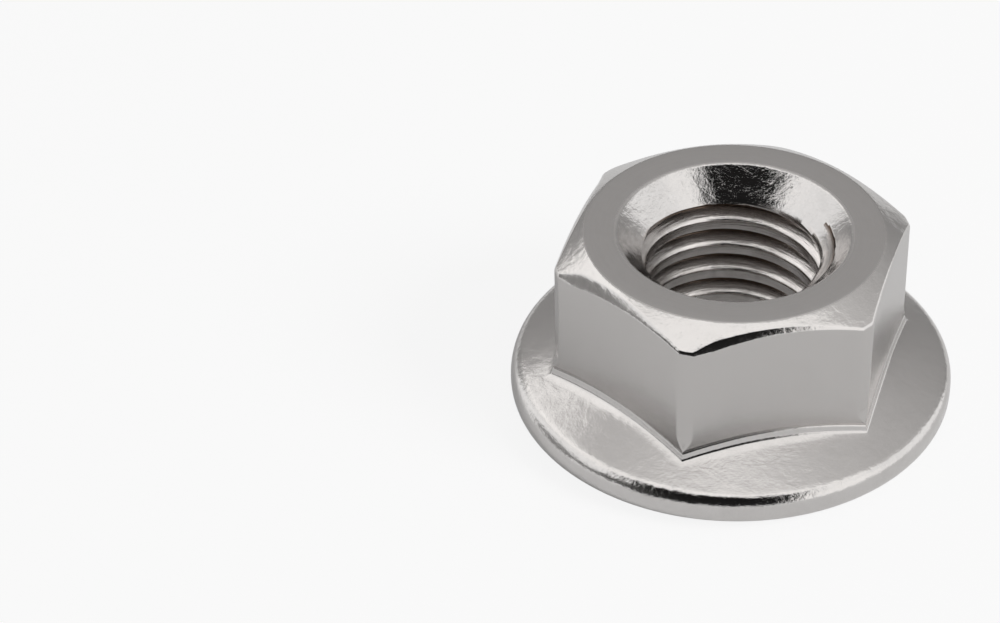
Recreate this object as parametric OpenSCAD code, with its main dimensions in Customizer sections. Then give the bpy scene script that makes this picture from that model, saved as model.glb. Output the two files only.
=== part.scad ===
// Serrated hexagon flange nut, coarse thread, cold formed in stainless steel.
// Millimetres. +Z up, with the origin on the nut's axis at the level of the tooth crests.

/* [Thread] */
// Major diameter, at the thread roots
thread_d = 8; // [7.6:0.1:8.4]
// Minor diameter, at the thread crests
thread_minor_d = 6.9; // [6.6:0.05:7.2]
// Axial distance from one turn to the next
thread_pitch = 1.25; // [1:0.05:1.5]
// Included angle of the thread groove
thread_angle = 60; // [50:1:64]
// Width of the groove's flat root
thread_root_w = 0.16; // [0.1:0.01:0.22]
// Turn of the thread start about the axis
thread_start_a = 190; // [0:5:355]

/* [Hexagon] */
// Width across the flats
hex_af = 12.8; // [12.4:0.1:13.4]
// Diameter over the rounded corners
hex_corner_d = 14.46; // [13.9:0.02:14.6]
// Height of the nut, from the tooth crests to the top face
nut_h = 8; // [7:0.1:9.5]
// Diameter of the flat top face
top_flat_d = 11.9; // [11:0.1:12.3]
// Slope of the top chamfer below the horizontal
chamfer_a = 31; // [20:1:38]
// Radius that eases the top face into the chamfer
top_edge_r = 0.3; // [0.1:0.05:0.6]
// Radius of the fillet between the hexagon and the flange
fillet_r = 0.5; // [0.3:0.05:0.8]
// Turn of the hexagon about the axis
hex_turn_a = 16.6; // [0:0.1:60]

/* [Flange] */
// Diameter of the flange
flange_d = 17.9; // [17:0.1:20]
// Radius of the rim's lower edge
rim_low_r = 0.55; // [0.4:0.01:0.7]
// Height of the rim's upright side
rim_side_h = 0.35; // [0.2:0.01:0.9]
// Radius of the rim's upper edge
rim_top_r = 0.45; // [0.2:0.05:0.6]
// Slope of the flange's conical top below the horizontal
flange_a = 23; // [15:1:28]

/* [Serrations] */
// Number of ratchet teeth
teeth = 24; // [16:1:30]
// Height of a tooth, from its valley to its crest
tooth_h = 0.3; // [0.15:0.01:0.4]
// Angle that a tooth sweeps from its outer to its inner end
tooth_sweep_a = 30; // [15:1:40]
// Width of a tooth's steep flank, square to its crest
tooth_flank_w = 0.12; // [0.08:0.01:0.25]
// Width of the band that falls gently from a tooth's crest to its steep flank
tooth_band_w = 0.4; // [0.2:0.02:0.6]
// How far that band falls at the outer end of a tooth
band_fall = 0.05; // [0.01:0.01:0.1]
// How much further it falls at the inner end
band_fall_more = 0.1; // [0:0.01:0.14]
// Diameter of the ring that the inner ends of the teeth reach
tooth_in_d = 12.4; // [11.8:0.1:13]
// Depth of the scallops between the inner ends of the teeth
scallop_h = 0.16; // [0:0.02:0.3]
// How far a crest falls away at its inner end
crest_fall = 0.1; // [0:0.01:0.14]
// How far the flat inner ring stands back from the crests
ring_back = 0.32; // [0.3:0.01:0.5]

/* [Bore mouths] */
// Diameter of the upper mouth at the top face
top_mouth_d = 9.5; // [8.8:0.1:10.2]
// Depth of the upper mouth
top_mouth_h = 1.25; // [0.8:0.05:1.6]
// Diameter of the lower mouth at the inner ring
low_mouth_d = 9.9; // [9:0.1:10.6]
// Depth of the lower mouth
low_mouth_h = 1.2; // [0.8:0.05:1.6]
// Radius that eases each mouth into the face round it
mouth_edge_r = 0.45; // [0.2:0.05:0.6]
// How far the foot of a mouth stands inside the thread's major diameter
mouth_foot_in = 0.1; // [0:0.02:0.3]

/* [Hidden] */

$fn = 72;

hex_r = hex_af / 2 / cos(30);
flange_r = flange_d / 2;
thread_r = thread_d / 2;
minor_r = thread_minor_d / 2;
tooth_in_r = tooth_in_d / 2;
tooth_a = 360 / teeth;

// Stock that the serrations and the bore cut away, and how far a cutter runs past it
stock = 0.1;
over = 1;
// Number of chords in the arc of a turned edge, and in the arc of the base fillet
edge_steps = 6;
fillet_steps = 4;

// The rim's lower edge dips this far below the level of the valleys, so that they cut it off flat
rim_dip = 0.01;
rim_low_z = tooth_h + rim_low_r - rim_dip;
rim_top_z = rim_low_z + rim_side_h;

// The teeth slope up to a plain margin, and the recess inside them is this much smaller than they reach
margin_r = flange_r - rim_low_r;
margin_w = 0.05;
recess_in = 0.2;
// Bend angle where the curve of a tooth ends, at the recess
bend_end = 80;

// The conical top of the flange starts where the rim's upper edge ends
cone_start = [
    flange_r - rim_top_r + rim_top_r * sin(flange_a),
    rim_top_z + rim_top_r * cos(flange_a)
];

// Height of the flange's conical top at a distance from the axis
function cone_z(r) = cone_start[1] + (cone_start[0] - r) * tan(flange_a);

// Points of an arc round [r, z], from angle a to angle b
function arc(centre, radius, a, b, steps = edge_steps) = [
    for (i = [0 : steps])
        let (t = a + (b - a) * i / steps)
            centre + radius * [cos(t), sin(t)]
];

// Hexagon with turned corners, a flat top face and a chamfer with an eased upper edge
module hexagon() {
    corner_r = hex_corner_d / 2;
    ease = top_edge_r * tan(chamfer_a / 2);
    flat_r = top_flat_d / 2 - ease;
    chamfer_h = (corner_r - top_flat_d / 2) * tan(chamfer_a);
    intersection() {
        rotate([0, 0, hex_turn_a])
            cylinder(h = nut_h, r = hex_r, $fn = 6);
        rotate_extrude()
            polygon(concat(
                [[0, stock], [corner_r, stock], [corner_r, nut_h - chamfer_h]],
                arc([flat_r, nut_h - top_edge_r], top_edge_r, 90 - chamfer_a, 90, 3),
                [[0, nut_h]]
            ));
    }
}

// Flange with a rounded rim and a conical top, with stock left under its bearing side
module flange() {
    rotate_extrude()
        polygon(concat(
            [[0, -stock], [margin_r, -stock]],
            arc([margin_r, rim_low_z], rim_low_r, -90, 0),
            arc([flange_r - rim_top_r, rim_top_z], rim_top_r, 0, 90 - flange_a),
            [[0, cone_z(0)]]
        ));
}

// Fillet that follows the curved foot of the six flats and comes to a point at each corner
module base_fillet() {
    // The fillet's edges sink this far into the flats and the cone, and its block reaches this far back
    sink = 0.04;
    back = 0.6;
    // Number of strips along the foot of each flat
    lanes = 8;
    apothem = hex_af / 2;
    // Distance out from the flat and height over the cone, from the flat down to the cone
    section = [
        for (i = [0 : fillet_steps])
            let (t = (90 - flange_a) * i / fillet_steps, w = fillet_r * (1 - cos(t)))
                [w - sink, fillet_r * (tan(45 - flange_a / 2) - sin(t)) + w * tan(flange_a) - sink / 2]
    ];
    ring = concat([[-back, section[0][1]]], section, [[section[fillet_steps][0], -2 * back], [-back, -2 * back]]);
    count = len(ring);
    columns = 6 * lanes;
    points = [
        for (i = [0 : columns - 1])
            let (a = hex_turn_a + 60 * floor(i / lanes), s = 2 * (i % lanes) / lanes - 1)
                for (p = ring)
                    let (
                        out = apothem + p[0],
                        side = s * out * tan(30),
                        r = norm([out, side])
                    )
                        [
                            out * cos(a + 30) - side * sin(a + 30),
                            out * sin(a + 30) + side * cos(a + 30),
                            cone_z(r) + p[1]
                        ]
    ];
    faces = [
        for (i = [0 : columns - 1], j = [0 : count - 1])
            let (
                a = i * count + j,
                b = i * count + (j + 1) % count,
                c = ((i + 1) % columns) * count + (j + 1) % count,
                d = ((i + 1) % columns) * count + j
            )
                each [[a, c, b], [a, d, c]]
    ];
    polyhedron(points, faces);
}

// Solid that clears the bore and its two bell mouths
module bore() {
    foot_r = thread_r - mouth_foot_in;
    top_z = nut_h - top_mouth_h;
    low_z = ring_back + low_mouth_h;
    rotate_extrude()
        polygon(concat(
            [[0, -over]],
            mouth_outline(low_mouth_d / 2, foot_r, ring_back, low_z, -1),
            [[minor_r, low_z + foot_r - minor_r], [minor_r, top_z - foot_r + minor_r]],
            reversed(mouth_outline(top_mouth_d / 2, foot_r, nut_h, top_z, 1)),
            [[0, nut_h + over]]
        ));
}

function reversed(list) = [for (i = [len(list) - 1 : -1 : 0]) list[i]];

// Outline of a bell mouth from outside the face to its foot: up is 1 at the top, -1 below
function mouth_outline(edge_r, foot_r, face_z, foot_z, up) =
    let (
        rise = abs(face_z - foot_z) - mouth_edge_r,
        slope = atan2(rise, edge_r - foot_r) + asin(mouth_edge_r / norm([rise, edge_r - foot_r])),
        centre = [edge_r, face_z - up * mouth_edge_r]
    )
        concat(
            [[edge_r, face_z + up * over]],
            [
                for (i = [0 : edge_steps])
                    let (t = 90 + slope * i / edge_steps)
                        centre + mouth_edge_r * [cos(t), up * sin(t)]
            ],
            [[foot_r, foot_z]]
        );

// Helical groove of the right-hand thread, run out past both ends of the bore
module thread_groove() {
    steps_a = 12;
    // The groove starts inside the bore, so that it cuts clean through the crests
    inner_r = minor_r - 0.3;
    inner_w = thread_root_w + 2 * (thread_r - inner_r) * tan(thread_angle / 2);
    turns = ceil((nut_h + 2 * thread_pitch) / thread_pitch);
    section = [
        [inner_r, inner_w / 2],
        [thread_r, thread_root_w / 2],
        [thread_r, -thread_root_w / 2],
        [inner_r, -inner_w / 2]
    ];
    rings = turns * 360 / steps_a;
    points = [
        for (i = [0 : rings])
            let (a = i * steps_a)
                for (p = section)
                    [
                        p[0] * cos(a + thread_start_a),
                        p[0] * sin(a + thread_start_a),
                        p[1] - thread_pitch + thread_pitch * a / 360
                    ]
    ];
    sides = [
        for (i = [0 : rings - 1], j = [0 : 3])
            let (a = 4 * i + j, b = 4 * i + (j + 1) % 4)
                each [[a, a + 4, b], [b, a + 4, b + 4]]
    ];
    ends = [[0, 1, 2], [0, 2, 3], [4 * rings + 2, 4 * rings + 1, 4 * rings], [4 * rings + 3, 4 * rings + 2, 4 * rings]];
    polyhedron(points, concat(sides, ends));
}

// Cutter that leaves the ratchet teeth: a ramp, a band that falls gently and a steep flank
module serrations() {
    bend_step = 16;
    columns = teeth * 4;
    // Rows of [distance from the axis, angle, height], from inside the recess to past the rim
    grid = [
        for (i = [0 : teeth - 1], mark = [0 : 3])
            concat(
                [inner_point(i, mark, tooth_in_r - 2 * recess_in), inner_point(i, mark, foot_r(mark))],
                [for (bend = [bend_end : -bend_step : 0]) tooth_point(i, mark, bend)],
                [outer_point(i, mark, margin_r, tooth_h), outer_point(i, mark, flange_r + over, tooth_h)],
                [outer_point(i, mark, flange_r + over, -over), outer_point(i, mark, tooth_in_r - 2 * recess_in, -over)]
            )
    ];
    count = len(grid[0]);
    points = [for (column = grid) for (p = column) [p[0] * cos(p[1]), p[0] * sin(p[1]), p[2]]];
    faces = [
        for (i = [0 : columns - 1], j = [0 : count - 1])
            let (
                a = i * count + j,
                b = i * count + (j + 1) % count,
                c = ((i + 1) % columns) * count + (j + 1) % count,
                d = ((i + 1) % columns) * count + j
            )
                each [[a, c, b], [a, d, c]]
    ];
    polyhedron(points, faces);
}

// Distance from the axis of a tooth's curve at a bend angle, between the ends of the curve
function bend_r(bend, outer_r, inner_r) = outer_r - (outer_r - inner_r) * sin(bend) / sin(bend_end);

// Width of the pitch square to a tooth's curve, with a least share left where the curve runs along the ring
function pitch_w(bend) =
    let (
        least = 0.18,
        r = bend_r(bend, margin_r - tooth_h, tooth_in_r),
        along = r * tooth_sweep_a * PI / 180 * sin(bend),
        inward = (margin_r - tooth_in_r) * cos(bend)
    )
        r * tooth_a * PI / 180 * max(inward / norm([inward, along]), least);

// Shares of the pitch that the steep flank and the falling band take, each with its limit
function flank_share(bend) = min(0.1, tooth_flank_w / pitch_w(bend));
function band_share(bend) = min(0.6, tooth_band_w / pitch_w(bend));

// Share of the pitch at each mark of a tooth: valley, middle of the ramp, crest, end of the band
function share_at(mark, bend) =
    let (crest = 1 - flank_share(bend) - band_share(bend))
        [0, crest / 2, crest, 1 - flank_share(bend)][mark];

// Height of a tooth over its valley at each mark
function rise_at(mark, bend) =
    let (
        inward = bend / bend_end,
        top = tooth_h - crest_fall * pow(inward, 4)
    )
        [0, top / 2, top, top - band_fall - band_fall_more * inward][mark];

// Angle of a mark of tooth i
function tooth_angle(i, mark, bend) =
    tooth_a * (i + share_at(mark, bend)) - tooth_sweep_a * (1 - cos(bend));

// Where the inner end of a tooth lies, scalloped along its pitch
function scallop_r(mark) = tooth_in_r + scallop_h * (1 - sin(180 * share_at(mark, bend_end)));

// Where the short wall at that end meets the recess, with a least width of the wall
function foot_r(mark) = scallop_r(mark) - max(0.05, (ring_back - tooth_h + rise_at(mark, bend_end)) / 2);

function tooth_point(i, mark, bend) =
    let (rise = rise_at(mark, bend))
        [
            bend_r(bend, margin_r - margin_w - rise, scallop_r(mark)),
            tooth_angle(i, mark, bend),
            tooth_h - rise
        ];

function inner_point(i, mark, r) = [r, tooth_angle(i, mark, bend_end), ring_back];

function outer_point(i, mark, r, z) = [r, tooth_angle(i, mark, 0), z];

module flange_nut() {
    color([0.72, 0.71, 0.69])
        difference() {
            union() {
                hexagon();
                flange();
                base_fillet();
            }
            bore();
            thread_groove();
            serrations();
            translate([0, 0, -over])
                cylinder(h = over + ring_back, r = tooth_in_r - recess_in);
        }
}

flange_nut();
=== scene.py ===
"""Serrated flange nut, dressed for a studio picture.

The nut is one piece of stainless steel, cold formed, tapped and tumbled. Its mesh is turned on
a lathe of 384 columns, and each part of it shapes its own rings: the hexagon, the flange, the
ratchet serrations, the two bell mouths and the thread. Lengths are metres, in the CAD frame.
"""

import logging
import math
from dataclasses import dataclass, field
from enum import Enum
from functools import cached_property
from typing import Any, Callable, Sequence

import bmesh
import bpy
from mathutils import Matrix, Vector


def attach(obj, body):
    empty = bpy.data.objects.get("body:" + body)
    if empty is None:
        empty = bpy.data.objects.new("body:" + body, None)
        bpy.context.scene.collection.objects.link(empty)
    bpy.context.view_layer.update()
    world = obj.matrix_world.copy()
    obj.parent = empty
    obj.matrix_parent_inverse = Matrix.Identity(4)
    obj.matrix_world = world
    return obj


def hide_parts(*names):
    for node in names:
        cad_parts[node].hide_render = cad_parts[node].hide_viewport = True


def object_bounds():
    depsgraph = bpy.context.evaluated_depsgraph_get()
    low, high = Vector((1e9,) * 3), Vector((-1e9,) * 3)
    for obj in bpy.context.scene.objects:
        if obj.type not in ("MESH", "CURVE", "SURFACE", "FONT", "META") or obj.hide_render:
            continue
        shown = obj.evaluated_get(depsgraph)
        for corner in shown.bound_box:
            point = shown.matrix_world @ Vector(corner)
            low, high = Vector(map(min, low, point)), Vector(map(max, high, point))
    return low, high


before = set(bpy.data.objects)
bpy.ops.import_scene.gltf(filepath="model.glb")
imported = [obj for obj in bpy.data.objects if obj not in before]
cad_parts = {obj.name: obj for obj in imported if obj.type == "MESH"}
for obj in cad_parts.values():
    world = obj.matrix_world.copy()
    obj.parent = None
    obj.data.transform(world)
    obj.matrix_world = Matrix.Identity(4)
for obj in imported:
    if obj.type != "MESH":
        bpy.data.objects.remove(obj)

LOG = logging.getLogger("flange_nut")
CAD_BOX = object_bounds()

MM = 0.001
NUT_HEIGHT = CAD_BOX[1].z - CAD_BOX[0].z
FLANGE_RADIUS = CAD_BOX[1].x

TEETH = 24
COLUMNS_PER_TOOTH = 16
COLUMNS = TEETH * COLUMNS_PER_TOOTH
TOOTH_TURN = math.tau / TEETH
HEX_TURN = math.radians(16.6)
SIDE_TURN = math.tau / 6
QUARTER = math.radians(90)

WELD = 0.0004 * MM
SLIVER = 0.0002 * MM
CREASE = math.radians(38)

Point = tuple[float, float]
Colour = tuple[float, float, float]
Place = Callable[[int, int], Vector]


class Zone(Enum):
    """Finish zones of the nut; each value is the index of its material."""

    TOP = 0
    CHAMFER = 1
    FLAT = 2
    FLANGE = 3
    RIM = 4
    SERRATION = 5
    INNER_RING = 6
    MOUTH = 7
    THREAD = 8


def column_turn(column: int) -> float:
    """Angle of an evenly spaced column, with column 0 on a corner of the hexagon."""
    return HEX_TURN + math.tau * column / COLUMNS


def polar(radius: float, turn: float, height: float) -> Vector:
    """Point at a distance from the axis, an angle about it and a height."""
    return Vector((radius * math.cos(turn), radius * math.sin(turn), height))


def mix(start: float, end: float, share: float) -> float:
    """Value at a share of the way from start to end."""
    return start + (end - start) * share


def smooth_step(share: float) -> float:
    """Eases a share from 0 to 1, level at both ends."""
    share = min(max(share, 0.0), 1.0)
    return share * share * (3.0 - 2.0 * share)


def soft_min(first: float, second: float, reach: float) -> float:
    """Smaller of two values, rounded where they differ by less than reach."""
    near = max(reach - abs(first - second), 0.0) / reach
    return min(first, second) - near * near * reach / 4.0


def facing(turn: float, side: float) -> float:
    """How far an angle faces a side of the nut: 1 is that side and 0 the one across."""
    return 0.5 + 0.5 * math.cos(turn - side)


def arc(centre: Point, radius: float, start: float, end: float, steps: int) -> list[Point]:
    """Points of an arc in the plane of the section.

    Args:
        centre: Distance from the axis and height of the arc's centre.
        radius: Radius of the arc.
        start: First angle, from straight out towards straight up.
        end: Last angle.
        steps: Number of chords.

    Returns:
        The arc's points, both ends included.
    """
    turns = [mix(start, end, step / steps) for step in range(steps + 1)]
    return [(centre[0] + radius * math.cos(t), centre[1] + radius * math.sin(t)) for t in turns]


def spread(start: float, end: float, steps: int) -> list[float]:
    """Evenly spaced values after start, up to and with end."""
    return [mix(start, end, (step + 1) / steps) for step in range(steps)]


def walk(points: list[Point], tilts: Sequence[float], lengths: Sequence[float]) -> list[Point]:
    """Carries a section on, chord by chord.

    Args:
        points: Distances out and down so far.
        tilts: Tilt of each chord from straight down towards out, in degrees.
        lengths: Length of each chord.

    Returns:
        The distances out and down, with those of the new chords.
    """
    walked = list(points)
    for tilt, length in zip(tilts, lengths):
        out, drop = walked[-1]
        lean = math.radians(tilt)
        walked.append((out + length * math.sin(lean), drop + length * math.cos(lean)))
    return walked


def ladder(columns: int, rings: int) -> bmesh.types.BMesh:
    """Makes a strip of quads whose points lie at their column and ring numbers.

    Args:
        columns: Number of quads along X.
        rings: Number of quads along Y.

    Returns:
        The strip, as a new mesh.
    """
    bm = bmesh.new()
    bmesh.ops.create_grid(bm, x_segments=columns, y_segments=rings, size=1.0)
    bmesh.ops.translate(bm, verts=bm.verts, vec=(1.0, 1.0, 0.0))
    bmesh.ops.scale(bm, verts=bm.verts, vec=(columns / 2, rings / 2, 1.0))
    return bm


def join(target: bmesh.types.BMesh, part: bmesh.types.BMesh) -> None:
    """Moves a part's mesh into the target mesh.

    Args:
        target: Mesh that gets the part.
        part: Mesh of the part, which is freed.
    """
    carrier = bpy.data.meshes.new("carrier")
    part.to_mesh(carrier)
    part.free()
    target.from_mesh(carrier)
    bpy.data.meshes.remove(carrier)


def turn_rings(bm: bmesh.types.BMesh, zones: Sequence[Zone], place: Place) -> None:
    """Turns a strip of the nut's skin and shapes it.

    Args:
        bm: Mesh that gets the strip.
        zones: Finish of the band after each ring but the last.
        place: Gives the place for a column and a ring.
    """
    strip = ladder(COLUMNS, len(zones))
    for face in strip.faces:
        face.material_index = zones[int(face.calc_center_median().y)].value
    for vertex in strip.verts:
        vertex.co = place(round(vertex.co.x) % COLUMNS, round(vertex.co.y))
    bmesh.ops.remove_doubles(strip, verts=strip.verts, dist=WELD)
    join(bm, strip)


@dataclass
class BellMouth:
    """Bell mouth at one end of the bore.

    Attributes:
        face_z: Height of the face that the mouth opens in.
        up: 1 at the top of the nut, -1 at the bearing side.
        edge_radius: Radius where the mouth's rounded edge meets the face.
        depth: Depth of the mouth.
        foot_radius: Radius at the mouth's foot.
        rounding: Radius of the mouth's rounded edge.
        arc_steps: Number of chords round that edge.
        cone_steps: Number of rings down the cone.
    """

    face_z: float
    up: int
    edge_radius: float
    depth: float
    foot_radius: float
    rounding: float
    arc_steps: int = 8
    cone_steps: int = 6

    @property
    def foot_z(self) -> float:
        """Height of the mouth's foot."""
        return self.face_z - self.up * self.depth

    @cached_property
    def cone_edge(self) -> Point:
        """Radius and height where the mouth's cone meets its rounded edge."""
        return self.outline(self.foot_z)[self.arc_steps]

    def outline(self, end_z: float) -> list[Point]:
        """Section of the mouth from the face down to a height in its cone.

        Args:
            end_z: Height of the last point.

        Returns:
            Distances from the axis, and heights.
        """
        rise = self.depth - self.rounding
        run = self.edge_radius - self.foot_radius
        slope = math.atan2(rise, run) + math.asin(self.rounding / math.hypot(rise, run))
        edge = arc((self.edge_radius, 0.0), self.rounding, QUARTER, QUARTER + slope, self.arc_steps)
        points = [(r, self.face_z + self.up * (z - self.rounding)) for r, z in edge]
        start_r, start_z = points[-1]
        for height in spread(start_z, end_z, self.cone_steps):
            share = (height - start_z) / (self.foot_z - start_z)
            points.append((mix(start_r, self.foot_radius, share), height))
        return points

    def wall(self, height: float) -> float:
        """Radius of the mouth's cone, and of the lead-in past its foot.

        Args:
            height: Height in the bore.

        Returns:
            The radius there, which the lead-in closes down to 0.
        """
        past_foot = self.up * (height - self.foot_z)
        if past_foot < 0.0:
            return max(self.foot_radius + past_foot, 0.0)
        edge_r, edge_z = self.cone_edge
        return mix(self.foot_radius, edge_r, past_foot / abs(edge_z - self.foot_z))

    def build(self, bm: bmesh.types.BMesh, end_z: float) -> None:
        """Adds the mouth's skin from its face to the height where the helix takes over.

        Args:
            bm: Mesh of the nut.
            end_z: Height where the helix takes over.
        """
        outline = self.outline(end_z)

        def place(column: int, ring: int) -> Vector:
            """Place of a column and a ring of the mouth."""
            radius, height = outline[ring]
            return polar(radius, column_turn(column), height)

        turn_rings(bm, [Zone.MOUTH] * (len(outline) - 1), place)


@dataclass
class Thread:
    """Right-hand internal thread, run out into the two bell mouths.

    Attributes:
        upper: Mouth at the top of the nut.
        lower: Mouth at the bearing side.
        major_radius: Radius at the thread's roots.
        crest_radius: Radius at the thread's crests.
        pitch: Axial distance from one turn to the next.
        flank_tilt: Half of the thread angle.
        root_flat: Width of the groove's flat root.
        start: Angle at which the groove's centre passes height 0.
        overlap: How far past a mouth's foot the helix is kept.
        edge_rounding: Reach of the rounding along the crests and the roots.
        groove_gap: How far outside a mouth's wall a face may lie and still be part of it.
        root_marks: Lines near the root, as shares of half the root's flat.
        flank_steps: Number of chords down the flank.
        crest_marks: Lines round the crest's edge, as shares of its distance.
    """

    upper: BellMouth
    lower: BellMouth
    major_radius: float = 4.0 * MM
    crest_radius: float = 3.45 * MM
    pitch: float = 1.25 * MM
    flank_tilt: float = math.radians(30)
    root_flat: float = 0.16 * MM
    start: float = math.radians(53)
    overlap: float = 0.46 * MM
    edge_rounding: float = 0.1 * MM
    groove_gap: float = 0.004 * MM
    root_marks: tuple[float, ...] = (0.6, 1.2, 2.0)
    flank_steps: int = 3
    crest_marks: tuple[float, ...] = (0.94, 1.06, 1.2)

    @property
    def top_z(self) -> float:
        """Height where the helix hands over to the upper mouth."""
        return self.upper.foot_z + self.overlap

    @property
    def low_z(self) -> float:
        """Height where the helix hands over to the lower mouth."""
        return self.lower.foot_z - self.overlap

    def groove_radius(self, offset: float) -> float:
        """Radius of the thread's surface, before the mouths cut it.

        Args:
            offset: Axial distance from the groove's centre.

        Returns:
            The radius there, between the roots and the crests.
        """
        flank = self.major_radius - (abs(offset) - self.root_flat / 2) / math.tan(self.flank_tilt)
        rooted = soft_min(flank, self.major_radius, self.edge_rounding)
        return -soft_min(-rooted, -self.crest_radius, self.edge_rounding)

    def groove_marks(self) -> list[float]:
        """Axial distances from the groove's centre of the lines of the helix.

        Returns:
            The distances, from half a pitch below to half a pitch above.
        """
        half_root = self.root_flat / 2
        flank_end = half_root + (self.major_radius - self.crest_radius) * math.tan(self.flank_tilt)
        side = [half_root * mark for mark in self.root_marks]
        low_flank, *crest = [flank_end * mark for mark in self.crest_marks]
        side += spread(side[-1], low_flank, self.flank_steps) + crest + [self.pitch / 2]
        return [-mark for mark in reversed(side)] + [0.0] + side

    def build(self, bm: bmesh.types.BMesh) -> None:
        """Adds the threaded wall of the bore as a helical sweep of one pitch.

        Args:
            bm: Mesh of the nut.
        """
        marks = self.groove_marks()
        phase = (HEX_TURN - self.start) / math.tau
        base = (math.floor(self.low_z / self.pitch - phase) - 1 + phase) * self.pitch
        turns = math.ceil((self.top_z - base) / self.pitch) + 1
        helix = ladder(COLUMNS * turns, len(marks) - 1)
        for vertex in helix.verts:
            vertex.co.z = base + marks[round(vertex.co.y)] + vertex.co.x / COLUMNS * self.pitch
        beyond = [face for face in helix.faces if self.is_beyond(face)]
        bmesh.ops.delete(helix, geom=beyond, context="FACES")
        for vertex in helix.verts:
            self.place(vertex)
        for face in helix.faces:
            face.material_index = (Zone.MOUTH if self.is_mouth(face) else Zone.THREAD).value
        bmesh.ops.remove_doubles(helix, verts=helix.verts, dist=WELD)
        join(bm, helix)

    def is_beyond(self, face: bmesh.types.BMFace) -> bool:
        """Tells if a face of the swept helix lies wholly past one of the mouths' feet."""
        heights = [vertex.co.z for vertex in face.verts]
        return min(heights) >= self.top_z or max(heights) <= self.low_z

    def is_mouth(self, face: bmesh.types.BMFace) -> bool:
        """Tells if a face lies on the wall of a mouth, clear of the groove.

        Args:
            face: Face of the helix, once its points are in place.

        Returns:
            True on the wall of a mouth.
        """
        centre = face.calc_center_median()
        wall = max(self.upper.wall(centre.z), self.lower.wall(centre.z))
        return wall > self.crest_radius and centre.xy.length < wall + self.groove_gap

    def place(self, vertex: bmesh.types.BMVert) -> None:
        """Moves a point of the swept helix to the thread's surface, inside the two mouths.

        Args:
            vertex: Point with its column as its X and its height as its Z.
        """
        turn = round(vertex.co.x) % COLUMNS / COLUMNS * math.tau
        height = min(max(vertex.co.z, self.low_z), self.top_z)
        lead = self.pitch * (turn + HEX_TURN - self.start) / math.tau
        offset = (height - lead + self.pitch / 2) % self.pitch - self.pitch / 2
        radius = max(self.groove_radius(offset), self.upper.wall(height), self.lower.wall(height))
        vertex.co = polar(radius, turn + HEX_TURN, height)


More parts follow.
